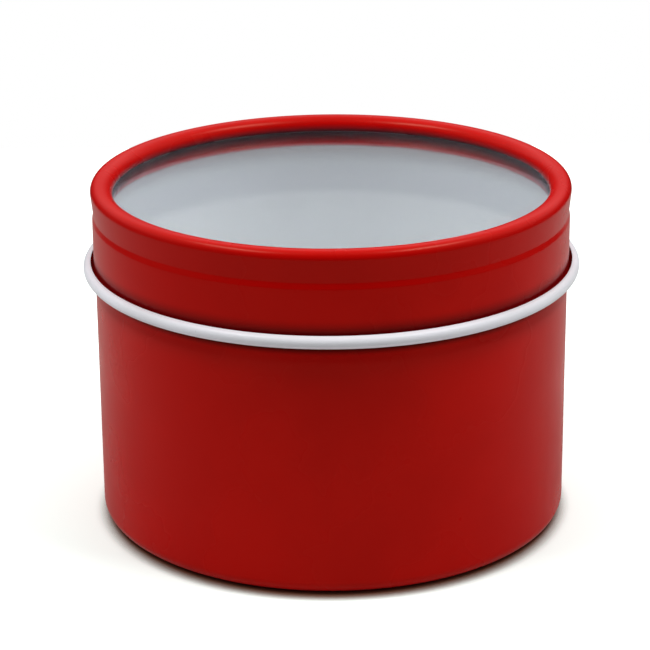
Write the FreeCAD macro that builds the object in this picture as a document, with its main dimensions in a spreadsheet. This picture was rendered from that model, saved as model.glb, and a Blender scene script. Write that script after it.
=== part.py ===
import FreeCAD, Part
import Sketcher
import enum
import math
import os

# Round slip-lid tin with a window in its lid. Millimetres, +Z up, origin at the centre of
# the base, where the tin stands. Three pieces: the drawn body, the lid ring and the window.

# Driving dimensions
SIZES = {
    # Tinplate of the body and of the lid ring
    "sheet_gauge": 0.25,
    # Body: a cup drawn in one piece, with a panel raised in its base
    "body_radius": 32.7,
    "body_height": 43.0,
    "base_corner_radius": 1.8,
    "base_land_width": 2.5,
    "base_panel_rise": 0.9,
    "base_panel_run": 1.4,
    "base_bend_radius": 0.4,
    # Body: shoulder under the lid and neck inside it, up to the trimmed rim
    "neck_inset": 0.2,
    "shoulder_drop": 0.46,
    "shoulder_rise": 3.0,
    "shoulder_bend_radius": 6.0,
    # Lid ring: slip fit on the neck, whole depth and the crown, whose lip is tucked in over the window
    "lid_clearance": 0.13,
    "lid_depth": 12.69,
    "lip_depth": 2.2,
    "lip_bend_radius": 0.55,
    "lip_tuck": 0.9,
    "crown_inner_radius": 1.55,
    "crown_land_width": 0.375,
    "crown_outer_radius": 1.07,
    "crown_overhang": 0.14,
    # Lid ring: waist that keeps the window in, step out to the skirt and edge rolled outwards
    "waist_inset": 0.18,
    "waist_rise": 0.5,
    "step_fall": 0.85,
    "step_bend_radius": 0.5,
    "edge_curl_radius": 0.85,
    "edge_curl_gap": 0.45,
    # Window: clear moulded disc with a turned-down wall that stands on the body's rim
    "window_gauge": 0.35,
    "window_depth": 2.4,
    "window_corner_radius": 0.9,
    "window_side_play": 0.05,
    "window_seat_gap": 0.05,
    "window_lip_gap": 0.05,
}

# Sizes that follow from the driving ones, as expressions on the sheet's cells
LAND_RADIUS = "(Dims.body_radius - Dims.base_corner_radius - Dims.base_land_width)"
NECK_RADIUS = "(Dims.body_radius - Dims.neck_inset)"
SKIRT_RADIUS = f"({NECK_RADIUS} + Dims.lid_clearance + Dims.sheet_gauge)"
WAIST_RADIUS = f"({SKIRT_RADIUS} - Dims.waist_inset)"
CROWN_RADIUS = f"({SKIRT_RADIUS} + Dims.crown_overhang)"
CROWN_INNER_CENTRE = f"({CROWN_RADIUS} - Dims.crown_outer_radius - Dims.crown_land_width)"
LIP_CENTRE = f"({CROWN_INNER_CENTRE} - Dims.crown_inner_radius + Dims.lip_bend_radius)"
WINDOW_RADIUS = f"({WAIST_RADIUS} - Dims.sheet_gauge - Dims.window_side_play)"
WINDOW_FOOT = "(Dims.body_height + Dims.window_seat_gap)"
WINDOW_TOP = f"({WINDOW_FOOT} + Dims.window_depth)"
LIP_FOOT = f"({WINDOW_TOP} + Dims.window_lip_gap)"
CROWN_TOP = f"({LIP_FOOT} + Dims.lip_depth)"
WAIST_HEIGHT = "(Dims.body_height + Dims.waist_rise)"
EDGE_HEIGHT = f"({CROWN_TOP} - Dims.lid_depth + Dims.edge_curl_radius)"
SHOULDER_TOP = f"({EDGE_HEIGHT} - Dims.shoulder_drop)"

# Ways that the sheet turns and heads in the half section
LEFT = "left"
RIGHT = "right"
QUARTER_TURN = math.pi / 2
EAST = 0
WEST = math.pi
UP = QUARTER_TURN
DOWN = -QUARTER_TURN
FULL_TURN_DEGREES = 360

# A sketch's own numbers for the points of its items, its origin and its vertical axis
Spot = enum.IntEnum("Spot", ["START", "END", "CENTRE"])
ORIGIN = (-1, Spot.START)
AXIS_OF_TURNING = -2

doc = FreeCAD.newDocument("WindowTin")
dims = doc.addObject("Spreadsheet::Sheet", "Dims")
for row, (alias, value) in enumerate(SIZES.items(), start=1):
    dims.set(f"A{row}", alias)
    dims.set(f"B{row}", str(value))
    dims.setAlias(f"B{row}", alias)
doc.recompute()


def size(expression):
    """Value of an expression on the sheet's cells."""
    return float(dims.evalExpression(expression))


def drive(sketch, kind, expression, *where):
    """Add a dimension that follows an expression on the sheet's cells."""
    index = sketch.addConstraint(Sketcher.Constraint(kind, *where, size(expression)))
    sketch.setExpression(f"Constraints[{index}]", expression)


def relate(sketch, kind, *where):
    """Add a relation with no value, such as a tangent or a shared point."""
    sketch.addConstraint(Sketcher.Constraint(kind, *where))


def add_line(sketch, first, second):
    """Add a straight from one point to another."""
    ends = [FreeCAD.Vector(*point, 0) for point in (first, second)]
    return sketch.addGeometry(Part.LineSegment(*ends), False)


def add_arc(sketch, centre, radius, turn, first_angle, last_angle):
    """Add an arc that turns left or right from one angle to another."""
    circle = Part.Circle(FreeCAD.Vector(*centre, 0), FreeCAD.Vector(0, 0, 1), radius)
    angles = (first_angle, last_angle) if turn == LEFT else (last_angle, first_angle)
    return sketch.addGeometry(Part.ArcOfCircle(circle, *angles), False)


def sign_of(turn):
    """Plus for a turn to the left, as angles count, and minus for one to the right."""
    return 1 if turn == LEFT else -1


def other_side(turn):
    """The side of the sheet that is on the outside of a turn."""
    return RIGHT if turn == LEFT else LEFT


def bend(turn, x, z, tight_radius):
    """A bend of the sheet: the way it turns, its centre and the radius of its inner face."""
    return {"turn": turn, "x": x, "z": z, "tight_radius": tight_radius}


def face_radius(item, side, gauge):
    """Radius of a bend on the left or the right face of the sheet."""
    if item["turn"] == side:
        return item["tight_radius"]
    return f"({item['tight_radius']} + {gauge})"


def on_circle(centre, radius, angle):
    """Point of a circle at an angle from +X."""
    return centre[0] + radius * math.cos(angle), centre[1] + radius * math.sin(angle)


def heading_between(here, there, side, gauge):
    """Direction of the straight that is tangent to two bends in a row."""
    across = size(there["x"]) - size(here["x"])
    rise = size(there["z"]) - size(here["z"])
    radius_here = sign_of(here["turn"]) * size(face_radius(here, side, gauge))
    radius_there = sign_of(there["turn"]) * size(face_radius(there, side, gauge))
    lean = math.asin((radius_there - radius_here) / math.hypot(across, rise))
    return math.atan2(rise, across) - lean


def draw_face(sketch, side, gauge, start, bends, finish):
    """Draw one face of a sheet: a straight into every bend, and each piece tangent to the next.

    start is the heading of the first, level straight and the distance of its free end from the
    axis, or None where it starts on the axis. finish is the heading of the last, upright straight
    and the height of its free end, or None for the heading and the distance from the axis of the
    wide face's end where the sheet ends in a curl.
    Returns the arcs, the first straight and the free end as an item and one of its points.
    """
    headings = [start[0]]
    headings += [heading_between(*pair, side, gauge) for pair in zip(bends, bends[1:])]
    headings += [finish[0]]
    arcs = []
    last = None
    for item, heading_in, heading_out in zip(bends, headings, headings[1:]):
        turn = item["turn"]
        centre = (size(item["x"]), size(item["z"]))
        radius_text = face_radius(item, side, gauge)
        radius = size(radius_text)
        angle_in = heading_in - sign_of(turn) * QUARTER_TURN
        touch = on_circle(centre, radius, angle_in)
        if last is None:
            begin = (0 if start[1] is None else size(start[1]), touch[1])
        straight = add_line(sketch, begin, touch)
        if last is None:
            first_straight = straight
        else:
            relate(sketch, "Tangent", *last, straight, Spot.START)
        if heading_out is None:
            wide_text = face_radius(item, other_side(turn), gauge)
            end_text = f"({item['x']} + ({finish[1]} - {item['x']}) * {radius_text} / {wide_text})"
            angle_out = math.copysign(math.acos((size(end_text) - centre[0]) / radius), -heading_in)
        else:
            angle_out = heading_out - sign_of(turn) * QUARTER_TURN
        arc = add_arc(sketch, centre, radius, turn, angle_in, angle_out)
        entry, exit_point = (Spot.START, Spot.END) if turn == LEFT else (Spot.END, Spot.START)
        relate(sketch, "Tangent", straight, Spot.END, arc, entry)
        drive(sketch, "Radius", radius_text, arc)
        begin = on_circle(centre, radius, angle_out)
        last = (arc, exit_point)
        arcs.append(arc)
    if finish[0] is None:
        drive(sketch, "DistanceX", end_text, *ORIGIN, *last)
        return arcs, first_straight, last
    straight = add_line(sketch, begin, (begin[0], size(finish[1])))
    relate(sketch, "Tangent", *last, straight, Spot.START)
    return arcs, first_straight, (straight, Spot.END)


def sheet_piece(label, gauge, start, bends, finish):
    """Body of revolution made of a sheet of even gauge that runs through a row of bends.

    Both faces of the half section are drawn with arcs on shared centres, the cuts at the
    sheet's two ends close it, and it is turned once about the vertical axis.
    """
    body = doc.addObject("PartDesign::Body", label)
    body.Label = label
    sketch = body.newObject("Sketcher::SketchObject", f"{label}_section")
    plane = [item for item in body.Origin.OriginFeatures if item.Role == "XZ_Plane"][0]
    sketch.AttachmentSupport = [(plane, "")]
    sketch.MapMode = "FlatFace"

    left_arcs, left_first, left_end = draw_face(sketch, LEFT, gauge, start, bends, finish)
    right_arcs, right_first, right_end = draw_face(sketch, RIGHT, gauge, start, bends, finish)
    for item, left_arc, right_arc in zip(bends, left_arcs, right_arcs):
        drive(sketch, "DistanceX", item["x"], *ORIGIN, left_arc, Spot.CENTRE)
        drive(sketch, "DistanceY", item["z"], *ORIGIN, left_arc, Spot.CENTRE)
        relate(sketch, "Coincident", left_arc, Spot.CENTRE, right_arc, Spot.CENTRE)

    cuts = [((left_first, Spot.START), (right_first, Spot.START)), (left_end, right_end)]
    cut_lines = []
    for ends in cuts:
        points = [sketch.getPoint(*end) for end in ends]
        cut = add_line(sketch, *[(point.x, point.y) for point in points])
        relate(sketch, "Coincident", cut, Spot.START, *ends[0])
        relate(sketch, "Coincident", cut, Spot.END, *ends[1])
        cut_lines.append(cut)

    for straight in (left_first, right_first):
        relate(sketch, "Horizontal", straight)
    if start[1] is None:
        for straight in (left_first, right_first):
            relate(sketch, "PointOnObject", straight, Spot.START, AXIS_OF_TURNING)
    else:
        relate(sketch, "Vertical", cut_lines[0])
        drive(sketch, "DistanceX", start[1], *ORIGIN, left_first, Spot.START)
    if finish[0] is not None:
        for straight, _ in (left_end, right_end):
            relate(sketch, "Vertical", straight)
        relate(sketch, "Horizontal", cut_lines[1])
        drive(sketch, "DistanceY", finish[1], *ORIGIN, *left_end)

    turned = body.newObject("PartDesign::Revolution", f"{label}_turned")
    turned.Profile = sketch
    turned.ReferenceAxis = (sketch, ["V_Axis"])
    turned.Angle = FULL_TURN_DEGREES
    body.Tip = turned
    return body


# Body: the sheet runs from the base panel round the corner, up the wall and in to the neck
tin_body = sheet_piece(
    "tin_body",
    "Dims.sheet_gauge",
    (EAST, None),
    [
        bend(RIGHT, f"({LAND_RADIUS} - Dims.base_panel_run)",
             "(Dims.base_panel_rise - Dims.base_bend_radius)", "Dims.base_bend_radius"),
        bend(LEFT, LAND_RADIUS, "(Dims.base_bend_radius + Dims.sheet_gauge)", "Dims.base_bend_radius"),
        bend(LEFT, "(Dims.body_radius - Dims.base_corner_radius)", "Dims.base_corner_radius",
             "(Dims.base_corner_radius - Dims.sheet_gauge)"),
        bend(LEFT, "(Dims.body_radius - Dims.sheet_gauge - Dims.shoulder_bend_radius)",
             f"({SHOULDER_TOP} - Dims.shoulder_rise)", "Dims.shoulder_bend_radius"),
        bend(RIGHT, f"({NECK_RADIUS} + Dims.shoulder_bend_radius)", SHOULDER_TOP,
             "Dims.shoulder_bend_radius"),
    ],
    (UP, "Dims.body_height"),
)

# Lid ring: the red face runs from the tucked lip up and over the crown, down past the waist to the
# skirt and into the curl, so that the curl shows the sheet's other face
lid_ring = sheet_piece(
    "lid_ring",
    "Dims.sheet_gauge",
    (WEST, f"({LIP_CENTRE} + Dims.lip_tuck)"),
    [
        bend(RIGHT, LIP_CENTRE, f"({LIP_FOOT} + Dims.lip_bend_radius)",
             "(Dims.lip_bend_radius - Dims.sheet_gauge)"),
        bend(RIGHT, CROWN_INNER_CENTRE, f"({CROWN_TOP} - Dims.crown_inner_radius)",
             "(Dims.crown_inner_radius - Dims.sheet_gauge)"),
        bend(RIGHT, f"({CROWN_RADIUS} - Dims.crown_outer_radius)",
             f"({CROWN_TOP} - Dims.crown_outer_radius)", "(Dims.crown_outer_radius - Dims.sheet_gauge)"),
        bend(LEFT, f"({WAIST_RADIUS} + Dims.step_bend_radius)", WAIST_HEIGHT, "Dims.step_bend_radius"),
        bend(RIGHT, f"({SKIRT_RADIUS} - Dims.sheet_gauge - Dims.step_bend_radius)",
             f"({WAIST_HEIGHT} - Dims.step_fall)", "Dims.step_bend_radius"),
        bend(LEFT, f"({SKIRT_RADIUS} + Dims.edge_curl_radius - Dims.sheet_gauge)", EDGE_HEIGHT,
             "(Dims.edge_curl_radius - Dims.sheet_gauge)"),
    ],
    (None, f"({SKIRT_RADIUS} + Dims.edge_curl_gap)"),
)

# Window: the disc turns down into a wall that the waist keeps in and the rim carries
window = sheet_piece(
    "window",
    "Dims.window_gauge",
    (EAST, None),
    [
        bend(RIGHT, f"({WINDOW_RADIUS} - Dims.window_corner_radius)",
             f"({WINDOW_TOP} - Dims.window_corner_radius)",
             "(Dims.window_corner_radius - Dims.window_gauge)"),
    ],
    (DOWN, WINDOW_FOOT),
)

pieces = [tin_body, lid_ring, window]
doc.recompute()

for item in doc.Objects:
    if "Invalid" in item.State or "Error" in item.State:
        raise RuntimeError(f"{item.Label} did not build: {item.State}")
for piece in pieces:
    if piece.Shape.isNull() or not piece.Shape.isValid() or len(piece.Shape.Solids) != 1:
        raise RuntimeError(f"{piece.Label} is not one valid solid")

os.makedirs("parts", exist_ok=True)
for piece in pieces:
    piece.Shape.exportStep(f"parts/{piece.Label}.step")
    box = piece.Shape.optimalBoundingBox()
    print(piece.Label, "volume", piece.Shape.Volume, "radius", box.XMax, "height", box.ZMin, box.ZMax)
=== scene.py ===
"""Looks of a round lacquered tin whose slip-on lid holds a clear window.

Lengths are in metres and angles in radians, with +Z up and the origin at the centre of the base.
Both sheets and the window are half sections, carried once round the Z axis.
"""

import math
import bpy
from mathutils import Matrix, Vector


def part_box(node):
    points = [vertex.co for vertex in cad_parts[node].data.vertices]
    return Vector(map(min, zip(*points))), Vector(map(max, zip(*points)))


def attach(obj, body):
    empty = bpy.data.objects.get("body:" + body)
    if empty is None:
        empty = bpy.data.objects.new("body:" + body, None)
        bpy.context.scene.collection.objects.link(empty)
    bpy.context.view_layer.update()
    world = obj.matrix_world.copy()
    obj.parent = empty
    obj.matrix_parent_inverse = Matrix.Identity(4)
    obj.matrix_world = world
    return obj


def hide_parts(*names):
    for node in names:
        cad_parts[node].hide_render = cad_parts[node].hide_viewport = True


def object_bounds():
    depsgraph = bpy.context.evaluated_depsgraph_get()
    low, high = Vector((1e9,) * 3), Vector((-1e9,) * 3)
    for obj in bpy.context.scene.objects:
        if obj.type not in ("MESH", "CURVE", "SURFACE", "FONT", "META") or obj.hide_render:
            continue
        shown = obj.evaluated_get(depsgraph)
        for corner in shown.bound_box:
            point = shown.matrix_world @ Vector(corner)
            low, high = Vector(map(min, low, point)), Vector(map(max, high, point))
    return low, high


bl_info = {
    "name": "Window Lid Tin",
    "version": (1, 0, 0),
    "blender": (4, 5, 0),
    "location": "View3D > Sidebar > Tin",
    "description": "Builds a round lacquered tin with a window lid, its finishes and its stage",
    "category": "Add Mesh",
}

import bpy
import numpy as np
from bpy.props import FloatProperty, FloatVectorProperty, IntProperty, PointerProperty
from mathutils import Matrix

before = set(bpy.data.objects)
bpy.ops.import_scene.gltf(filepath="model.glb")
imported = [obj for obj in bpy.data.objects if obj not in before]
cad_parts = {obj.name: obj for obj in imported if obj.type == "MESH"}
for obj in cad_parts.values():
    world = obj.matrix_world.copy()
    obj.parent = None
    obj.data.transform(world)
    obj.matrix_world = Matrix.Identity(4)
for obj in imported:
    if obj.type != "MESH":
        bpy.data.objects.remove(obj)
CAD_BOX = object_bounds()
BODY_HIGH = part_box("tin_body")[1]
RING_LOW, RING_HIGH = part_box("lid_ring")
PANE_LOW, PANE_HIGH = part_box("window")

# Ways that a sheet turns and heads in its half section
LEFT = 1.0
RIGHT = -1.0
QUARTER_TURN = math.pi / 2
FULL_TURN = 2 * math.pi
EAST = 0.0
WEST = math.pi
UP = QUARTER_TURN
DOWN = -QUARTER_TURN

# Finishes of a sheet, in the order of its material slots
RED_SIDE = 0
PALE_SIDE = 1
CUT_EDGE = 2
HOLLOW = 3

# The one finish of the window
CLEAR = 0

# Fewest steps of a bend, rows near the ends of a straight, and the largest share of the straight that
# lies between such a row and the bend
FEWEST_ARC_STEPS = 2
END_ROWS = 2
LARGEST_MARGIN_SHARE = 1 / 3

# Turn between two faces from which their edge is sharp
SHARP_ANGLE = math.radians(40)

# Levels of a noise between which a tone drifts, a rubbed grain shows and a hair mark shows
DRIFT_RANGE = (0.3, 0.7)
GRAIN_RANGE = (0.78, 0.9)
HAIR_RANGE = (0.7, 0.76)

# The two directions of the hair marks: a turn about Z in radians and a stretch of the noise
HAIR_DIRECTIONS = ((0.5, (1.0, 0.03, 1.0)), (-0.9, (0.04, 1.0, 1.0)))

# Shares of open sky over the floor between which the painted contact shadow fades
CONTACT_RANGE = (0.3, 0.85)

# Parts of a direction into the tent between which its light changes: along Y from the open front to the
# sides, and along Z at the tent's foot in the tin's gloss and at the horizon of the soft fill
FRONT_RANGE = (-0.9, 0.1)
FOOT_RANGE = (0.15, 0.5)
HORIZON_RANGE = (-0.05, 0.05)

# Count of matt bounces below which a ray has had none
NO_BOUNCE = 0.5

# Place of the colour among a mix node's outputs
MIXED_COLOUR = 2


def length(name, description, default):
    """A size in metres that a user can change."""
    return FloatProperty(
        name=name, description=description, default=default, precision=5, subtype="DISTANCE", unit="LENGTH"
    )


def rotation(name, description, default):
    """An angle in radians that a user can change."""
    return FloatProperty(
        name=name, description=description, default=default, subtype="ANGLE", unit="ROTATION"
    )


def share(name, description, default):
    """A plain number from nought to one that a user can change."""
    return FloatProperty(
        name=name, description=description, default=default, min=0.0, max=1.0, subtype="FACTOR"
    )


def amount(name, description, default):
    """A plain number that a user can change."""
    return FloatProperty(name=name, description=description, default=default, min=0.0)


def colour(name, description, default):
    """A colour that a user can change."""
    return FloatVectorProperty(
        name=name, description=description, default=(*default, 1.0), size=4, min=0.0, max=1.0, subtype="COLOR"
    )


class TinSizes(bpy.types.PropertyGroup):
    """Sizes of the sheets and of the window."""

    sheet_gauge: length("Sheet gauge", "Thickness of the tinplate", 0.00025)
    body_radius: length("Body radius", "Outer radius of the body's wall", BODY_HIGH.x)
    body_height: length("Body height", "Height of the body's trimmed rim", BODY_HIGH.z)
    base_corner: length("Base corner", "Outer radius of the rounded base corner", 0.0018)
    base_land: length("Base land", "Width of the flat ring that the tin stands on", 0.0025)
    panel_rise: length("Panel rise", "Height of the panel raised in the base", 0.0009)
    panel_run: length("Panel run", "Width of the slope up to the base panel", 0.0014)
    base_bend: length("Base bend", "Inner radius of the two bends of the base panel", 0.0004)
    neck_inset: length("Neck inset", "How much smaller the neck's radius is than the body's", 0.0002)
    shoulder_drop: length("Shoulder drop", "How far the shoulder ends below the curl's middle", 0.00046)
    shoulder_rise: length("Shoulder rise", "Height of the shoulder between body and neck", 0.003)
    shoulder_bend: length("Shoulder bend", "Inner radius of the shoulder's two soft bends", 0.006)
    lid_clearance: length("Lid clearance", "Slip fit between the neck and the lid's skirt", 0.00013)
    crown_top: length("Crown top", "Height of the lid's crown", RING_HIGH.z)
    edge_bottom: length("Edge bottom", "Height of the lowest point of the lid's curl", RING_LOW.z)
    crown_inner: length("Crown inner radius", "Outer radius of the roll round the opening", 0.00155)
    crown_land: length("Crown land", "Width of the flat on top of the crown", 0.000375)
    crown_outer: length("Crown outer radius", "Outer radius of the crown's outer edge", 0.00107)
    crown_overhang: length("Crown overhang", "How far the crown stands out past the skirt", 0.00014)
    lip_gap: length("Lip gap", "Gap between the lip's foot and the window", 0.00005)
    lip_bend: length("Lip bend", "Outer radius of the bend at the foot of the lip", 0.00055)
    lip_tuck: length("Lip tuck", "Flat of the lip that is tucked over the window", 0.0009)
    waist_inset: length("Waist inset", "How far the waist stands in from the skirt", 0.00018)
    waist_rise: length("Waist rise", "Height of the waist above the body's rim", 0.0005)
    step_fall: length("Step fall", "Height of the step between waist and skirt", 0.00085)
    step_bend: length("Step bend", "Inner radius of the step's two bends", 0.0005)
    edge_curl: length("Edge curl", "Outer radius of the lid's outward edge curl", 0.00085)
    edge_gap: length("Edge gap", "Gap between the edge curl's end and the skirt", 0.00045)
    pane_gauge: length("Window gauge", "Thickness of the clear window", 0.00035)
    pane_corner: length("Window corner", "Outer radius of the window's rounded edge", 0.0009)
    pane_radius: length("Window radius", "Outer radius of the window", PANE_HIGH.x)
    pane_top: length("Window top", "Height of the window's upper face", PANE_HIGH.z)
    pane_foot: length("Window foot", "Height of the foot of the window's wall", PANE_LOW.z)
    segments: IntProperty(name="Segments", description="Steps round the axis", default=256, min=16, max=512)
    arc_step: rotation("Arc step", "Largest turn of a bend between two rows of points", math.radians(7.5))
    row_length: length("Row length", "Longest step between rows on a straight", 0.006)
    row_margin: length("Row margin", "Distance of a straight's end rows from its bends", 0.00015)
    rub_radius: length("Rub radius", "Outer radius at and below which a bend is fully rubbed", 0.001)
    rub_spread: length("Rub spread", "Distance over which a rubbed edge fades", 0.0004)
    peel_depth: length("Peel depth", "Depth of the lacquers' fine peel", 0.00004)
    wave_depth: length("Wave depth", "Depth of the window's slow waves", 0.0002)
    # Painted shade in the creases under and above the lid's edge curl: where it reaches
    painted_shade_foot: length("Soil foot", "How far the soil under the lid's edge reaches down", 0.0014)
    painted_shade_line: length("Soil line", "How far below the lid's edge its soil is darkest", 0.00035)
    painted_shade_head: length("Soil head", "How far the soil reaches up behind the lid's edge", 0.0003)
    painted_shade_above: length("Soil above", "How far above the lid's curl its soil reaches", 0.0019)
    # Painted shade on the body's inner face: below the rim, and from the shoulder up
    painted_rim_shade_depth: length("Bare depth", "How far below the rim the inner lacquer starts to thin", 0.0035)
    shoulder_shade_low: length("Drawn low", "How far below the shoulder the inner lacquer starts to darken", 0.0009)
    shoulder_shade_high: length("Drawn high", "How far above the shoulder's foot the inner lacquer is darkest", 0.0009)


class TinFinish(bpy.types.PropertyGroup):
    """Colours and gloss of the finishes."""

    red: colour("Red lacquer", "Colour of the outer lacquer", (0.55, 0.0022, 0.0014))
    red_deep: colour("Deep red", "Colour of the outer lacquer where its film is thick", (0.5, 0.0016, 0.001))
    red_gloss: share("Red gloss", "Mirror strength of the outer lacquer", 0.104)
    red_sheen: colour("Red sheen", "Tint of the outer lacquer's gloss", (1.0, 0.8, 0.55))
    red_smooth: share("Red least roughness", "Roughness of the outer lacquer at its smoothest", 0.25)
    red_rough: share("Red most roughness", "Roughness of the outer lacquer at its roughest", 0.31)
    pale: colour("Pale lacquer", "Colour of the lid's inner lacquer", (0.92, 0.93, 0.985))
    pale_shade: colour("Pale shade", "Colour of the lid's inner lacquer where thin", (0.85, 0.86, 0.9))
    pale_gloss: share("Pale gloss", "Mirror strength of the inner lacquers", 0.3)
    pale_sheen: colour("Pale sheen", "Tint of the inner lacquers' gloss", (0.985, 0.993, 1.0))
    pale_smooth: share("Pale least roughness", "Roughness of the inner lacquers at their smoothest", 0.28)
    pale_rough: share("Pale most roughness", "Roughness of the inner lacquers at their roughest", 0.4)
    grey: colour("Grey lacquer", "Colour of the body's inner lacquer", (0.52, 0.56, 0.59))
    grey_shade: colour("Grey shade", "Colour of the body's inner lacquer where thin", (0.495, 0.535, 0.565))
    # Painted shade of the body's inner face: from the shoulder up, and darkest at the rim under the lid's lip
    drawn: colour("Drawn neck", "Colour of the inner lacquer from the shoulder up", (0.36, 0.395, 0.44))
    painted_rim_shade: colour(
        "Bare neck", "Colour of the inner face where its lacquer thins at the rim", (0.15, 0.16, 0.18)
    )
    # Painted shade of the crown's hollow, which lies in shade
    hollow: colour("Crown hollow", "Colour of the thick lacquer in the crown's hollow", (0.06, 0.008, 0.016))
    # Painted shade in the creases under and above the lid's edge curl
    painted_crease_shade: colour("Soil", "Colour of the soil that gathers under the lid's edge", (0.07, 0.0004, 0.0003))
    painted_shade_above: colour("Soil above", "Colour of the soil above the lid's curl", (0.22, 0.0006, 0.002))
    primer: colour("Rubbed edge", "Colour where the lacquer is rubbed thin", (0.3, 0.06, 0.05))
    steel: colour("Cut steel", "Colour of the sheet's cut edges", (0.56, 0.55, 0.53))
    steel_smooth: share("Steel least roughness", "Roughness of the cut edges at their smoothest", 0.28)
    steel_rough: share("Steel most roughness", "Roughness of the cut edges at their roughest", 0.5)
    dust: colour("Dust", "Colour of the dust specks", (0.62, 0.5, 0.47))
    clear: colour("Clear window", "Tint of the window", (0.985, 0.993, 1.0))
    clear_smooth: share("Window least roughness", "Roughness of the window where it is clearest", 0.015)
    clear_rough: share("Window most roughness", "Roughness of the window where it is haziest", 0.05)
    clear_marked: share("Window marks", "Roughness that a hair mark adds to the window", 0.2)


class TinStage(bpy.types.PropertyGroup):
    """Camera, floor and light."""

    lens: amount("Lens", "Focal length of the camera in millimetres", 138.83)
    camera_x: length("Camera X", "Place of the camera along X", -0.0009545)
    camera_y: length("Camera Y", "Place of the camera along Y", -0.33026)
    camera_z: length("Camera Z", "Place of the camera along Z", 0.14728)
    camera_tilt: rotation(
        "Camera tilt", "Turn of the camera up from looking straight down", math.radians(69.829)
    )
    camera_roll: rotation(
        "Camera roll", "Turn of the camera about its own line of sight", math.radians(-0.466)
    )
    floor_half: length("Floor half width", "Half the side of the floor", 0.18)
    floor_bounce: colour("Floor bounce", "Colour of the floor as it lights the tin", (0.57, 0.57, 0.57))
    floor_mirrored: colour("Floor mirrored", "Colour of the floor in the tin's gloss", (0.5, 0.47, 0.44))
    floor_white: amount("Floor white", "Brightness of the open floor to the camera", 1.31)
    floor_tint: colour("Floor tint", "Tint of the floor to the camera", (0.89, 1.0, 0.965))
    # Painted contact shadow of the floor along the tin's foot
    contact_shadow_colour: colour("Contact", "Colour of the floor where the tin stands on it", (0.14, 0.065, 0.04))
    contact_reach: length("Contact reach", "How far the dark contact line reaches", 0.003)
    contact_lean: share("Contact lean", "How far the contact line leans towards the viewer", 1.0)
    fill_level: amount("Fill level", "Strength of the soft light of the tent", 0.8)
    front_share: share("Front share", "How much of the tent's light comes from its open front", 0.05)
    low_share: share("Low share", "Brightness of the tent's foot in the tin's gloss", 0.02)
    lamp_power: amount("Lamp power", "Power of each of the two lamps in watts", 1.71)
    lamp_lean: share("Lamp lean", "Share of its power by which the right lamp is stronger", 0.06)
    lamp_width: length("Lamp width", "Size of each lamp along X", 0.28)
    lamp_depth: length("Lamp depth", "Size of each lamp along Y", 0.12)
    lamp_x: length("Lamp X", "Distance of each lamp from the middle", 0.29)
    lamp_y: length("Lamp Y", "Place of the lamps along Y", -0.08)
    lamp_z: length("Lamp Z", "Height of the lamps", 0.58)


def shoulder_top(sizes):
    """Height at which the body's shoulder ends in the neck."""
    return sizes.edge_bottom + sizes.edge_curl - sizes.shoulder_drop


def hollow_top(sizes):
    """Height in the crown's roll at which the painted shade of its hollow has faded."""
    return sizes.crown_top - sizes.crown_inner / 2


def place(tree, kind, inputs=None, **settings):
    """Add a node, set its properties, and give inputs, by identifier or else by name, a value or a link."""
    node = tree.nodes.new(kind)
    for name, value in settings.items():
        setattr(node, name, value)
    for name, value in (inputs or {}).items():
        named = [item for item in node.inputs if item.identifier == name]
        socket = named[0] if named else node.inputs[name]
        if isinstance(value, bpy.types.NodeSocket):
            tree.links.new(value, socket)
        else:
            socket.default_value = value
    return node


def arithmetic(tree, operation, first, second):
    """Result of a sum or comparison of two numbers."""
    sockets = {"Value": first, "Value_001": second}
    return place(tree, "ShaderNodeMath", sockets, operation=operation).outputs[0]


def ramp(tree, value, start, end, low, high):
    """Value carried smoothly from the range start to end into the range low to high."""
    sockets = {"Value": value, "From Min": start, "From Max": end, "To Min": low, "To Max": high}
    return place(tree, "ShaderNodeMapRange", sockets, interpolation_type="SMOOTHSTEP").outputs[0]


def blend_colours(tree, mask, first, second):
    """First colour where the mask is nought and second where it is one."""
    sockets = {"Factor_Float": mask, "A_Color": first, "B_Color": second}
    return place(tree, "ShaderNodeMix", sockets, data_type="RGBA").outputs[MIXED_COLOUR]


def new_group(name, inputs, outputs):
    """Node group with a position input, named number inputs and named number outputs."""
    old = bpy.data.node_groups.get(name)
    if old is not None:
        return old, None, None
    group = bpy.data.node_groups.new(name, "ShaderNodeTree")
    group.interface.new_socket("Position", in_out="INPUT", socket_type="NodeSocketVector")
    for label in inputs:
        group.interface.new_socket(label, in_out="INPUT", socket_type="NodeSocketFloat")
    for label in outputs:
        group.interface.new_socket(label, in_out="OUTPUT", socket_type="NodeSocketFloat")
    return group, group.nodes.new("NodeGroupInput").outputs, group.nodes.new("NodeGroupOutput").inputs


def lacquer_film_group():
    """Sprayed and baked film: a fine peel, and a slow drift in its thickness."""
    group, given, result = new_group("lacquer_film", ["Peel Scale", "Drift Scale"], ["Peel", "Drift"])
    if given is None:
        return group
    peel = place(group, "ShaderNodeTexNoise", {
        "Vector": given["Position"], "Scale": given["Peel Scale"], "Detail": 2.0, "Roughness": 0.45})
    drift = place(group, "ShaderNodeTexNoise", {
        "Vector": given["Position"], "Scale": given["Drift Scale"], "Detail": 3.0, "Roughness": 0.55})
    group.links.new(peel.outputs[0], result["Peel"])
    group.links.new(ramp(group, drift.outputs[0], *DRIFT_RANGE, 0.0, 1.0), result["Drift"])
    return group


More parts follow.
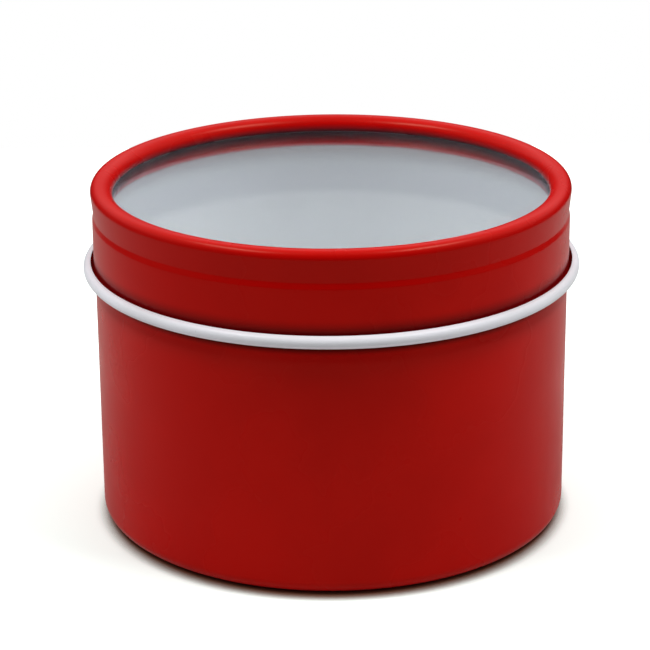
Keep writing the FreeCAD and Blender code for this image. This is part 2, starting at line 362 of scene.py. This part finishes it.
def dust_specks_group():
    """Scattered round specks: the core of some cells, picked by the cells' own random colour."""
    group, given, result = new_group("dust_specks", ["Cell Scale", "Speck Size", "Share"], ["Mask"])
    if given is None:
        return group
    cells = place(group, "ShaderNodeTexVoronoi", {
        "Vector": given["Position"], "Scale": given["Cell Scale"], "Randomness": 1.0})
    parts = place(group, "ShaderNodeSeparateColor", {"Color": cells.outputs["Color"]})
    picked = arithmetic(group, "LESS_THAN", parts.outputs[0], given["Share"])
    reach = arithmetic(group, "MULTIPLY", given["Speck Size"], parts.outputs[1])
    core = ramp(group, cells.outputs["Distance"], 0.0, reach, 1.0, 0.0)
    group.links.new(arithmetic(group, "MULTIPLY", picked, core), result["Mask"])
    return group


def rubbed_edge_group():
    """Wear of tight outer bends: grains that pass a threshold, which falls as the rub rises."""
    group, given, result = new_group("rubbed_edge", ["Rub", "Grain Scale", "Amount"], ["Mask"])
    if given is None:
        return group
    grain = place(group, "ShaderNodeTexNoise", {
        "Vector": given["Position"], "Scale": given["Grain Scale"], "Detail": 5.0, "Roughness": 0.7})
    worn = arithmetic(group, "MULTIPLY", given["Rub"], given["Amount"])
    level = arithmetic(group, "ADD", grain.outputs[0], worn)
    group.links.new(ramp(group, level, *GRAIN_RANGE, 0.0, 1.0), result["Mask"])
    return group


def height_band_group():
    """Band between two heights: it rises smoothly from its low to its peak and falls to its high."""
    group, given, result = new_group("height_band", ["Low", "Peak", "High"], ["Mask"])
    if given is None:
        return group
    height = place(group, "ShaderNodeSeparateXYZ", {"Vector": given["Position"]}).outputs["Z"]
    rising = ramp(group, height, given["Low"], given["Peak"], 0.0, 1.0)
    falling = ramp(group, height, given["Peak"], given["High"], 1.0, 0.0)
    group.links.new(arithmetic(group, "MULTIPLY", rising, falling), result["Mask"])
    return group


def hair_marks_group():
    """Fine hair marks: narrow bands of a noise that is drawn out along one direction, then another."""
    group, given, result = new_group("hair_marks", ["Scale", "Amount"], ["Mask"])
    if given is None:
        return group
    masks = []
    for turn, stretch in HAIR_DIRECTIONS:
        drawn = place(group, "ShaderNodeMapping", {
            "Vector": given["Position"], "Rotation": (0.0, 0.0, turn), "Scale": stretch})
        noise = place(group, "ShaderNodeTexNoise", {
            "Vector": drawn.outputs[0], "Scale": given["Scale"], "Detail": 1.0, "Roughness": 0.5})
        masks.append(ramp(group, noise.outputs[0], *HAIR_RANGE, 0.0, 1.0))
    both = arithmetic(group, "MAXIMUM", *masks)
    group.links.new(arithmetic(group, "MULTIPLY", both, given["Amount"]), result["Mask"])
    return group


def new_material(name):
    """Empty material, its node tree and its output."""
    material = bpy.data.materials.new(name)
    material.use_nodes = True
    tree = material.node_tree
    tree.nodes.clear()
    return material, tree, place(tree, "ShaderNodeOutputMaterial")


def grouped(tree, group, inputs):
    """Outputs of a group placed in a material with its own values."""
    return place(tree, "ShaderNodeGroup", inputs, node_tree=group).outputs


def lacquer(name, look):
    """Lacquered sheet: a film whose tone and gloss drift, a fine peel, dust and rubbed edges.

    Each painted shade band of the look is three heights, low, peak and high, and the colour that the tone
    goes to there.
    """
    old = bpy.data.materials.get(name)
    if old is not None:
        return old
    finish = bpy.context.scene.tin_finish
    sizes = bpy.context.scene.tin_sizes
    material, tree, output = new_material(name)
    position = place(tree, "ShaderNodeTexCoord").outputs["Object"]
    rub = place(tree, "ShaderNodeAttribute", None, attribute_name="rub").outputs["Fac"]
    film = grouped(tree, lacquer_film_group(), {
        "Position": position, "Peel Scale": look["peel_scale"], "Drift Scale": look["drift_scale"]})
    specks = grouped(tree, dust_specks_group(), {
        "Position": position, "Cell Scale": look["speck_scale"], "Speck Size": look["speck_size"],
        "Share": look["speck_share"]})
    worn = grouped(tree, rubbed_edge_group(), {
        "Position": position, "Rub": rub, "Grain Scale": look["grain_scale"], "Amount": look["wear"]})
    tone = blend_colours(tree, film["Drift"], look["thin"], look["thick"])
    # Painted shade: each band darkens the tone between its heights
    for low, peak, high, painted_shade_colour in look["painted_shade_bands"]:
        band = grouped(tree, height_band_group(), {
            "Position": position, "Low": low, "Peak": peak, "High": high})
        tone = blend_colours(tree, band["Mask"], tone, painted_shade_colour)
    tone = blend_colours(tree, worn["Mask"], tone, look["worn"])
    tone = blend_colours(tree, specks["Mask"], tone, finish.dust)
    gloss = ramp(tree, film["Drift"], 0.0, 1.0, look["smooth"], look["rough"])
    bump = place(tree, "ShaderNodeBump", {
        "Height": film["Peel"], "Strength": look["peel_strength"], "Distance": sizes.peel_depth})
    shader = place(tree, "ShaderNodeBsdfPrincipled", {
        "Base Color": tone, "Roughness": gloss, "Specular IOR Level": look["gloss"],
        "Specular Tint": look["sheen"], "Normal": bump.outputs[0]})
    tree.links.new(shader.outputs[0], output.inputs["Surface"])
    return material


def red_film(name, painted_shade_bands):
    """Satin red lacquer with darker bands."""
    finish = bpy.context.scene.tin_finish
    return lacquer(name, {
        "thin": finish.red, "thick": finish.red_deep, "worn": finish.primer,
        "smooth": finish.red_smooth, "rough": finish.red_rough, "gloss": finish.red_gloss,
        "sheen": finish.red_sheen, "painted_shade_bands": painted_shade_bands,
        "peel_scale": 1500.0, "peel_strength": 0.12, "drift_scale": 60.0,
        "speck_scale": 260.0, "speck_size": 0.04, "speck_share": 0.06,
        "grain_scale": 3200.0, "wear": 0.12})


def body_red_lacquer():
    """Red lacquer of the body's outer face, with a line of painted shade below the lid's edge."""
    finish = bpy.context.scene.tin_finish
    sizes = bpy.context.scene.tin_sizes
    edge = sizes.edge_bottom
    # Painted shade: a dark line just under the lid's edge curl, where its shade falls on the body
    painted_crease_shade = (edge - sizes.painted_shade_foot, edge - sizes.painted_shade_line, edge + sizes.painted_shade_head, finish.painted_crease_shade)
    return red_film("body_outer_red_with_painted_shade", [painted_crease_shade])


def lid_red_lacquer():
    """Red lacquer of the lid's outer face, with painted shade above its edge curl."""
    finish = bpy.context.scene.tin_finish
    sizes = bpy.context.scene.tin_sizes
    curl_top = sizes.edge_bottom + 2 * sizes.edge_curl
    # Painted shade: the skirt darkens just above the edge curl, where the crease is in shade
    painted_crease_shade = (curl_top - sizes.edge_curl, curl_top, curl_top + sizes.painted_shade_above, finish.painted_shade_above)
    return red_film("lid_outer_red_with_painted_shade", [painted_crease_shade])


def hollow_red_with_painted_shade():
    """Red lacquer of the lip and of the crown's hollow, painted dark as shade below the roll."""
    finish = bpy.context.scene.tin_finish
    sizes = bpy.context.scene.tin_sizes
    # Painted shade: the hollow is dark up to the window's top and fades half way up the roll
    thick = (0.0, sizes.pane_top, hollow_top(sizes), finish.hollow)
    return red_film("crown_hollow_red_with_painted_shade", [thick])


def inner_lacquer(name, thick, thin, painted_shade_bands):
    """Satin lacquer of an inner face."""
    finish = bpy.context.scene.tin_finish
    return lacquer(name, {
        "thin": thin, "thick": thick, "worn": finish.steel, "painted_shade_bands": painted_shade_bands,
        "smooth": finish.pale_smooth, "rough": finish.pale_rough, "gloss": finish.pale_gloss,
        "sheen": finish.pale_sheen,
        "peel_scale": 1100.0, "peel_strength": 0.1, "drift_scale": 70.0,
        "speck_scale": 240.0, "speck_size": 0.035, "speck_share": 0.04,
        "grain_scale": 2600.0, "wear": 0.14})


def pale_lacquer():
    """Pale lacquer of the lid's inner face, which its rolled edge shows."""
    finish = bpy.context.scene.tin_finish
    return inner_lacquer("inner_pale_lacquer", finish.pale, finish.pale_shade, [])


def grey_with_painted_shade():
    """Grey lacquer of the body's inner face, with painted shade: darker from the shoulder up, and darkest at
    the rim.

    Both painted shades end far above the rim, so that they hold up to it.
    """
    finish = bpy.context.scene.tin_finish
    sizes = bpy.context.scene.tin_sizes
    shoulder = shoulder_top(sizes)
    rim = sizes.body_height
    # Painted shade: darker from the shoulder up, where the inner face turns down, and darkest at the rim,
    # which the lid's lip shades
    drawn = (shoulder - sizes.shoulder_shade_low, shoulder + sizes.shoulder_shade_high, 2 * rim, finish.drawn)
    painted_rim_shade_band = (rim - sizes.painted_rim_shade_depth, rim, 2 * rim, finish.painted_rim_shade)
    return inner_lacquer("inner_grey_with_painted_shade", finish.grey, finish.grey_shade, [drawn, painted_rim_shade_band])


def cut_steel():
    """Bare steel of the sheet's sheared edges."""
    old = bpy.data.materials.get("cut_steel_edge")
    if old is not None:
        return old
    finish = bpy.context.scene.tin_finish
    material, tree, output = new_material("cut_steel_edge")
    position = place(tree, "ShaderNodeTexCoord").outputs["Object"]
    film = grouped(tree, lacquer_film_group(), {
        "Position": position, "Peel Scale": 6000.0, "Drift Scale": 900.0})
    tone = blend_colours(tree, film["Drift"], finish.steel, finish.pale_shade)
    gloss = ramp(tree, film["Peel"], *DRIFT_RANGE, finish.steel_smooth, finish.steel_rough)
    shader = place(tree, "ShaderNodeBsdfPrincipled", {
        "Base Color": tone, "Metallic": 1.0, "Roughness": gloss})
    tree.links.new(shader.outputs[0], output.inputs["Surface"])
    return material


def clear_window():
    """Clear moulded plastic with a trace of haze, hair marks and dust, which lets the lamps through."""
    finish = bpy.context.scene.tin_finish
    sizes = bpy.context.scene.tin_sizes
    material, tree, output = new_material("clear_window_pane")
    position = place(tree, "ShaderNodeTexCoord").outputs["Object"]
    film = grouped(tree, lacquer_film_group(), {
        "Position": position, "Peel Scale": 120.0, "Drift Scale": 40.0})
    marks = grouped(tree, hair_marks_group(), {"Position": position, "Scale": 2200.0, "Amount": 0.15})
    specks = grouped(tree, dust_specks_group(), {
        "Position": position, "Cell Scale": 230.0, "Speck Size": 0.03, "Share": 0.1})
    tone = blend_colours(tree, specks["Mask"], finish.clear, finish.dust)
    haze = ramp(tree, film["Drift"], 0.0, 1.0, finish.clear_smooth, finish.clear_rough)
    marked = arithmetic(tree, "MULTIPLY", marks["Mask"], finish.clear_marked)
    gloss = arithmetic(tree, "ADD", haze, marked)
    bump = place(tree, "ShaderNodeBump", {
        "Height": film["Peel"], "Strength": 0.04, "Distance": sizes.wave_depth})
    glass = place(tree, "ShaderNodeBsdfPrincipled", {
        "Base Color": tone, "Roughness": gloss, "IOR": 1.49, "Transmission Weight": 1.0,
        "Normal": bump.outputs[0]})
    open_way = place(tree, "ShaderNodeBsdfTransparent")
    path = place(tree, "ShaderNodeLightPath")
    mixed = place(tree, "ShaderNodeMixShader", {
        "Fac": path.outputs["Is Shadow Ray"], "Shader": glass.outputs[0], "Shader_001": open_way.outputs[0]})
    tree.links.new(mixed.outputs[0], output.inputs["Surface"])
    return material


def pale_floor():
    """Pale floor that keeps the tin's shadow and looks white to the camera, also through the window.

    A painted contact shadow follows the tin's foot, where little of the sky is open to the floor.
    """
    stage = bpy.context.scene.tin_stage
    material, tree, output = new_material("pale_floor")
    path = place(tree, "ShaderNodeLightPath").outputs
    seen = arithmetic(tree, "MAXIMUM", path["Is Camera Ray"], path["Is Transmission Ray"])
    leaning = place(tree, "ShaderNodeCombineXYZ", {"Y": stage.contact_lean, "Z": 1.0}).outputs[0]
    facing = place(tree, "ShaderNodeVectorMath", {"Vector": leaning}, operation="NORMALIZE").outputs[0]
    # Painted shadow: the floor goes dark where the tin hides its sky
    open_share = place(tree, "ShaderNodeAmbientOcclusion", {
        "Distance": stage.contact_reach, "Normal": facing}).outputs["AO"]
    contact = ramp(tree, open_share, *CONTACT_RANGE, 0.0, 1.0)
    white = tuple(stage.floor_white * part for part in stage.floor_tint)
    shaded = blend_colours(tree, contact, stage.contact_shadow_colour, white)
    tone = blend_colours(tree, path["Is Glossy Ray"], stage.floor_bounce, stage.floor_mirrored)
    tone = blend_colours(tree, seen, tone, shaded)
    shader = place(tree, "ShaderNodeBsdfDiffuse", {"Color": tone})
    tree.links.new(shader.outputs[0], output.inputs["Surface"])
    return material


def studio_world():
    """White tent that is open to the front.

    It is plain white to the camera, also through the window. It lights the tin as a soft fill from above
    the horizon, and in the tin's gloss it is white, and dim at its foot. Both fade towards the open front.
    """
    stage = bpy.context.scene.tin_stage
    world = bpy.data.worlds.new("studio")
    world.use_nodes = True
    tree = world.node_tree
    tree.nodes.clear()
    path = place(tree, "ShaderNodeLightPath").outputs
    direction = place(tree, "ShaderNodeTexCoord").outputs["Generated"]
    parts = place(tree, "ShaderNodeSeparateXYZ", {"Vector": direction}).outputs
    facing = ramp(tree, parts["Y"], *FRONT_RANGE, stage.front_share, 1.0)
    direct = arithmetic(tree, "LESS_THAN", path["Diffuse Depth"], NO_BOUNCE)
    mirrored = arithmetic(tree, "MULTIPLY", path["Is Glossy Ray"], direct)
    sheen = ramp(tree, parts["Z"], *FOOT_RANGE, stage.low_share, 1.0)
    fill = ramp(tree, parts["Z"], *HORIZON_RANGE, 0.0, stage.fill_level)
    level = arithmetic(tree, "MULTIPLY", facing, ramp(tree, mirrored, 0.0, 1.0, fill, sheen))
    through = arithmetic(tree, "MULTIPLY", path["Is Transmission Ray"], direct)
    seen = arithmetic(tree, "MAXIMUM", path["Is Camera Ray"], through)
    level = arithmetic(tree, "MAXIMUM", level, seen)
    light = place(tree, "ShaderNodeBackground", {"Color": (1.0, 1.0, 1.0, 1.0), "Strength": level})
    output = place(tree, "ShaderNodeOutputWorld")
    tree.links.new(light.outputs[0], output.inputs["Surface"])
    return world


def bend(turn, x, z, tight_radius):
    """A bend of a sheet: the way it turns, its centre and the radius of its inner face."""
    return (turn, x, z, tight_radius)


def straight_rows(first, last):
    """Points inside a straight: one near each end, and even steps between them."""
    sizes = bpy.context.scene.tin_sizes
    run = math.dist(first, last)
    if run <= sizes.row_margin:
        return np.zeros((0, 2))
    margin = min(sizes.row_margin / run, LARGEST_MARGIN_SHARE)
    steps = END_ROWS + int(run / sizes.row_length)
    along = np.linspace(margin, 1 - margin, steps)[:, None]
    return np.asarray(first) * (1 - along) + np.asarray(last) * along


def sheet_face(side, gauge, bends, start, finish):
    """One face of a bent sheet in its half section, as points, and how much each point is rubbed.

    On the inside of a bend the face follows the tight radius, and on the outside one gauge more. The
    straight between two bends leans from the line between their centres by the arc sine of the
    difference of their radii, counted plus to the left and minus to the right, over their distance.
    start is the heading of the first, level straight and the distance of its free end from the axis.
    finish is the heading of the last, upright straight and the height of its free end, or None and the
    distance from the axis that the wide face's end reaches where the sheet ends in a curl. The rub of
    an outer bend is a set radius over its own, at most one, and is averaged over near points by a bell
    curve.
    """
    sizes = bpy.context.scene.tin_sizes
    turn, x, z, tight = np.array(bends).T
    radius = np.where(turn == side, tight, tight + gauge)
    across = np.diff(x)
    rise = np.diff(z)
    lean = np.arcsin(np.diff(turn * radius) / np.hypot(across, rise))
    last_heading = DOWN if finish[0] is None else finish[0]
    headings = np.concatenate(([start[0]], np.arctan2(rise, across) - lean, [last_heading]))
    enter = headings[:-1] - turn * QUARTER_TURN
    leave = headings[1:] - turn * QUARTER_TURN
    if finish[0] is None:
        reach = (finish[1] - x[-1]) / (tight[-1] + gauge)
        leave[-1] = math.copysign(math.acos(reach), -headings[-2])
    sweep = turn * np.mod(turn * (leave - enter), FULL_TURN)

    rows = []
    rubs = []
    for index in range(len(turn)):
        steps = 1 + max(FEWEST_ARC_STEPS, math.ceil(abs(sweep[index]) / sizes.arc_step))
        angle = enter[index] + sweep[index] * np.linspace(0.0, 1.0, steps)
        rows.append(np.column_stack((np.cos(angle), np.sin(angle))) * radius[index] + (x[index], z[index]))
        outside = turn[index] != side
        rubs.append(np.full(steps, outside * min(1.0, sizes.rub_radius / radius[index])))
    if finish[0] is not None:
        rows.append(np.array([[rows[-1][-1, 0], finish[1]]]))
        rubs.append(np.zeros(1))
    runs = [np.array([[start[1], rows[0][0, 1]]])] + rows
    points = [runs[0]]
    rub = [np.zeros(1)]
    for before, after, worn in zip(runs, runs[1:], rubs):
        between = straight_rows(before[-1], after[0])
        points += [between, after]
        rub += [np.zeros(len(between)), worn]
    points = np.concatenate(points)
    rub = np.concatenate(rub)
    travel = np.concatenate(([0.0], np.cumsum(np.hypot(*np.diff(points, axis=0).T))))
    near = np.exp(-0.5 * ((travel[:, None] - travel) / sizes.rub_spread) ** 2)
    return points, near @ rub / near.sum(axis=1)


def turned_sheet(name, faces, finishes, materials):
    """Closed mesh of a sheet: its section carried once round the Z axis.

    The point at distance x from the axis and height z goes to (x cos t, x sin t, z) for even angles t.
    The section runs along the sheet's right face and back along its left face, so that its outside is
    on the right of its travel. Where it starts on the axis it closes in two poles, and otherwise the
    cut at its start closes it. faces are the right and the left face, each as points and their rub, and
    finishes are the material slots of the right face, the left face and the cuts.
    """
    sizes = bpy.context.scene.tin_sizes
    (right, right_rub), (left, left_rub) = faces
    right_finish, left_finish, cut_finish = finishes
    section = np.concatenate((right, left[::-1]))
    rub = np.concatenate((right_rub, left_rub[::-1]))
    row_finish = np.concatenate((
        np.broadcast_to(right_finish, len(right)), np.broadcast_to(left_finish, len(left))[::-1]))
    row_finish[len(right) - 1] = cut_finish
    row_finish[-1] = cut_finish
    angle = np.arange(sizes.segments) * (FULL_TURN / sizes.segments)
    around = np.stack((np.cos(angle), np.sin(angle), np.ones_like(angle)), axis=-1)
    poles = section[0, 0] == 0.0
    rings = section[1:-1] if poles else section
    grid = rings[:, None, [0, 0, 1]] * around
    points = grid.reshape(-1, 3)
    near = np.arange(len(points)).reshape(len(rings), sizes.segments)
    far = np.roll(near, -1, axis=0)
    cells = np.stack((near, np.roll(near, -1, axis=1), np.roll(far, -1, axis=1), far), axis=-1)
    worn = np.repeat(rub[1:-1] if poles else rub, sizes.segments)
    if poles:
        tips = section[[0, -1]] @ np.array([[0.0, 0.0, 0.0], [0.0, 0.0, 1.0]])
        first = np.full(sizes.segments, len(points))
        fans = np.concatenate((
            np.stack((first, np.roll(near[0], -1), near[0]), axis=-1),
            np.stack((near[-1], np.roll(near[-1], -1), first + 1), axis=-1)))
        polygons = cells[:-1].reshape(-1, 4).tolist() + fans.tolist()
        polygon_finish = np.repeat(np.concatenate((row_finish[1:-2], row_finish[[0, -2]])), sizes.segments)
        points = np.concatenate((points, tips))
        worn = np.concatenate((worn, rub[[0, -1]]))
    else:
        polygons = cells.reshape(-1, 4).tolist()
        polygon_finish = np.repeat(row_finish, sizes.segments)

    mesh = bpy.data.meshes.new(name)
    mesh.from_pydata(points, [], polygons)
    for material in materials:
        mesh.materials.append(material)
    mesh.polygons.foreach_set("material_index", polygon_finish.astype(np.int32))
    mesh.attributes.new("rub", "FLOAT", "POINT").data.foreach_set("value", worn.astype(np.float32))
    mesh.shade_smooth()
    mesh.set_sharp_from_angle(angle=SHARP_ANGLE)
    mesh.update()
    if mesh.validate():
        raise RuntimeError(f"{name} has faces that don't hold together")
    piece = bpy.data.objects.new(name, mesh)
    bpy.context.scene.collection.objects.link(piece)
    return piece


class TIN_OT_body(bpy.types.Operator):
    """Make the drawn body: base panel, wall, shoulder, neck and a trimmed rim."""

    bl_idname = "tin.make_body"
    bl_label = "Make Body"

    def execute(self, context):
        sizes = context.scene.tin_sizes
        gauge = sizes.sheet_gauge
        land_radius = sizes.body_radius - sizes.base_corner - sizes.base_land
        neck_radius = sizes.body_radius - sizes.neck_inset
        shoulder = shoulder_top(sizes)
        bends = [
            bend(RIGHT, land_radius - sizes.panel_run, sizes.panel_rise - sizes.base_bend, sizes.base_bend),
            bend(LEFT, land_radius, sizes.base_bend + gauge, sizes.base_bend),
            bend(LEFT, sizes.body_radius - sizes.base_corner, sizes.base_corner, sizes.base_corner - gauge),
            bend(LEFT, sizes.body_radius - gauge - sizes.shoulder_bend, shoulder - sizes.shoulder_rise,
                 sizes.shoulder_bend),
            bend(RIGHT, neck_radius + sizes.shoulder_bend, shoulder, sizes.shoulder_bend),
        ]
        finish = (UP, sizes.body_height)
        faces = [sheet_face(side, gauge, bends, (EAST, 0.0), finish) for side in (RIGHT, LEFT)]
        materials = [body_red_lacquer(), grey_with_painted_shade(), cut_steel()]
        piece = turned_sheet("tin_body_sheet", faces, (RED_SIDE, PALE_SIDE, CUT_EDGE), materials)
        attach(piece, "tin")
        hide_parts("tin_body")
        return {"FINISHED"}


class TIN_OT_lid_ring(bpy.types.Operator):
    """Make the lid ring: tucked lip, crown, waist, step, skirt and an edge rolled outwards.

    The crown's hollow takes the red lacquer with painted shade from the lip down to the foot of the step,
    and the sheet's inner face is pale below it, so that the rolled edge shows pale.
    """

    bl_idname = "tin.make_lid_ring"
    bl_label = "Make Lid Ring"

    def execute(self, context):
        sizes = context.scene.tin_sizes
        gauge = sizes.sheet_gauge
        skirt_radius = sizes.body_radius - sizes.neck_inset + sizes.lid_clearance + gauge
        waist_radius = skirt_radius - sizes.waist_inset
        crown_radius = skirt_radius + sizes.crown_overhang
        crown_centre = crown_radius - sizes.crown_outer
        roll_centre = crown_centre - sizes.crown_land
        lip_centre = roll_centre - sizes.crown_inner + sizes.lip_bend
        lip_foot = sizes.pane_top + sizes.lip_gap
        waist_height = sizes.body_height + sizes.waist_rise
        step_foot = waist_height - sizes.step_fall
        bends = [
            bend(RIGHT, lip_centre, lip_foot + sizes.lip_bend, sizes.lip_bend - gauge),
            bend(RIGHT, roll_centre, sizes.crown_top - sizes.crown_inner, sizes.crown_inner - gauge),
            bend(RIGHT, crown_centre, sizes.crown_top - sizes.crown_outer, sizes.crown_outer - gauge),
            bend(LEFT, waist_radius + sizes.step_bend, waist_height, sizes.step_bend),
            bend(RIGHT, skirt_radius - gauge - sizes.step_bend, step_foot, sizes.step_bend),
            bend(LEFT, skirt_radius + sizes.edge_curl - gauge, sizes.edge_bottom + sizes.edge_curl,
                 sizes.edge_curl - gauge),
        ]
        start = (WEST, lip_centre + sizes.lip_tuck)
        finish = (None, skirt_radius + sizes.edge_gap)
        faces = [sheet_face(side, gauge, bends, start, finish) for side in (RIGHT, LEFT)]
        materials = [lid_red_lacquer(), pale_lacquer(), cut_steel(), hollow_red_with_painted_shade()]
        (inner_points, _), (outer_points, _) = faces
        # The crown's hollow, above the step's foot, takes the red with painted shade
        inner_finish = np.where(inner_points[:, 1] > step_foot, HOLLOW, PALE_SIDE)
        across, height = outer_points.T
        at_lip = (across < roll_centre) & (height < hollow_top(sizes))
        outer_finish = np.where(at_lip, HOLLOW, RED_SIDE)
        piece = turned_sheet("lid_ring_sheet", faces, (inner_finish, outer_finish, CUT_EDGE), materials)
        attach(piece, "lid")
        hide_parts("lid_ring")
        return {"FINISHED"}


class TIN_OT_window(bpy.types.Operator):
    """Make the clear window: a disc that turns down into a short wall."""

    bl_idname = "tin.make_window"
    bl_label = "Make Window"

    def execute(self, context):
        sizes = context.scene.tin_sizes
        gauge = sizes.pane_gauge
        corner = sizes.pane_corner
        bends = [bend(RIGHT, sizes.pane_radius - corner, sizes.pane_top - corner, corner - gauge)]
        finish = (DOWN, sizes.pane_foot)
        faces = [sheet_face(side, gauge, bends, (EAST, 0.0), finish) for side in (RIGHT, LEFT)]
        piece = turned_sheet("window_pane", faces, (CLEAR, CLEAR, CLEAR), [clear_window()])
        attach(piece, "lid")
        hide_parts("window")
        return {"FINISHED"}


class TIN_OT_stage(bpy.types.Operator):
    """Make the floor, the light and the camera."""

    bl_idname = "tin.make_stage"
    bl_label = "Make Stage"

    def execute(self, context):
        scene = context.scene
        stage = scene.tin_stage
        half = stage.floor_half
        corners = np.array([[-half, -half, 0], [half, -half, 0], [half, half, 0], [-half, half, 0]])
        mesh = bpy.data.meshes.new("floor")
        mesh.from_pydata(corners, [], [[0, 1, 2, 3]])
        mesh.materials.append(pale_floor())
        floor = bpy.data.objects.new("floor", mesh)
        scene.collection.objects.link(floor)

        scene.world = studio_world()
        target = (CAD_BOX[0] + CAD_BOX[1]) / 2
        for name, side in (("lamp_left", -1.0), ("lamp_right", 1.0)):
            light = bpy.data.lights.new(name, "AREA")
            light.shape = "RECTANGLE"
            light.size = stage.lamp_width
            light.size_y = stage.lamp_depth
            light.energy = stage.lamp_power * (1.0 + side * stage.lamp_lean)
            lamp = bpy.data.objects.new(name, light)
            lamp.location = (side * stage.lamp_x, stage.lamp_y, stage.lamp_z)
            lamp.rotation_euler = (target - lamp.location).to_track_quat("-Z", "Y").to_euler()
            scene.collection.objects.link(lamp)

        optics = bpy.data.cameras.new("camera")
        optics.lens = stage.lens
        camera = bpy.data.objects.new("camera", optics)
        spot = Matrix.Translation((stage.camera_x, stage.camera_y, stage.camera_z))
        tilt = Matrix.Rotation(stage.camera_tilt, 4, "X")
        camera.matrix_world = spot @ tilt @ Matrix.Rotation(stage.camera_roll, 4, "Z")
        scene.collection.objects.link(camera)
        scene.camera = camera
        scene.view_settings.view_transform = "Standard"
        return {"FINISHED"}


class TIN_PT_panel(bpy.types.Panel):
    """Sizes, finishes and the buttons that make the tin."""

    bl_label = "Window Lid Tin"
    bl_idname = "TIN_PT_panel"
    bl_space_type = "VIEW_3D"
    bl_region_type = "UI"
    bl_category = "Tin"

    def draw(self, context):
        for group in (context.scene.tin_sizes, context.scene.tin_finish, context.scene.tin_stage):
            box = self.layout.box()
            for name in group.__annotations__:
                box.prop(group, name)
        for operator in OPERATORS:
            self.layout.operator(operator.bl_idname)


OPERATORS = (TIN_OT_stage, TIN_OT_body, TIN_OT_lid_ring, TIN_OT_window)
CLASSES = (TinSizes, TinFinish, TinStage, *OPERATORS, TIN_PT_panel)


def register():
    """Register the classes and give each scene its sizes, finishes and stage."""
    for item in CLASSES:
        bpy.utils.register_class(item)
    bpy.types.Scene.tin_sizes = PointerProperty(type=TinSizes)
    bpy.types.Scene.tin_finish = PointerProperty(type=TinFinish)
    bpy.types.Scene.tin_stage = PointerProperty(type=TinStage)


def unregister():
    """Undo register."""
    del bpy.types.Scene.tin_stage
    del bpy.types.Scene.tin_finish
    del bpy.types.Scene.tin_sizes
    for item in reversed(CLASSES):
        bpy.utils.unregister_class(item)


def main():
    """Make the stage and the three pieces."""
    register()
    bpy.ops.tin.make_stage()
    bpy.ops.tin.make_body()
    bpy.ops.tin.make_lid_ring()
    bpy.ops.tin.make_window()


if __name__ == "__main__":
    main()
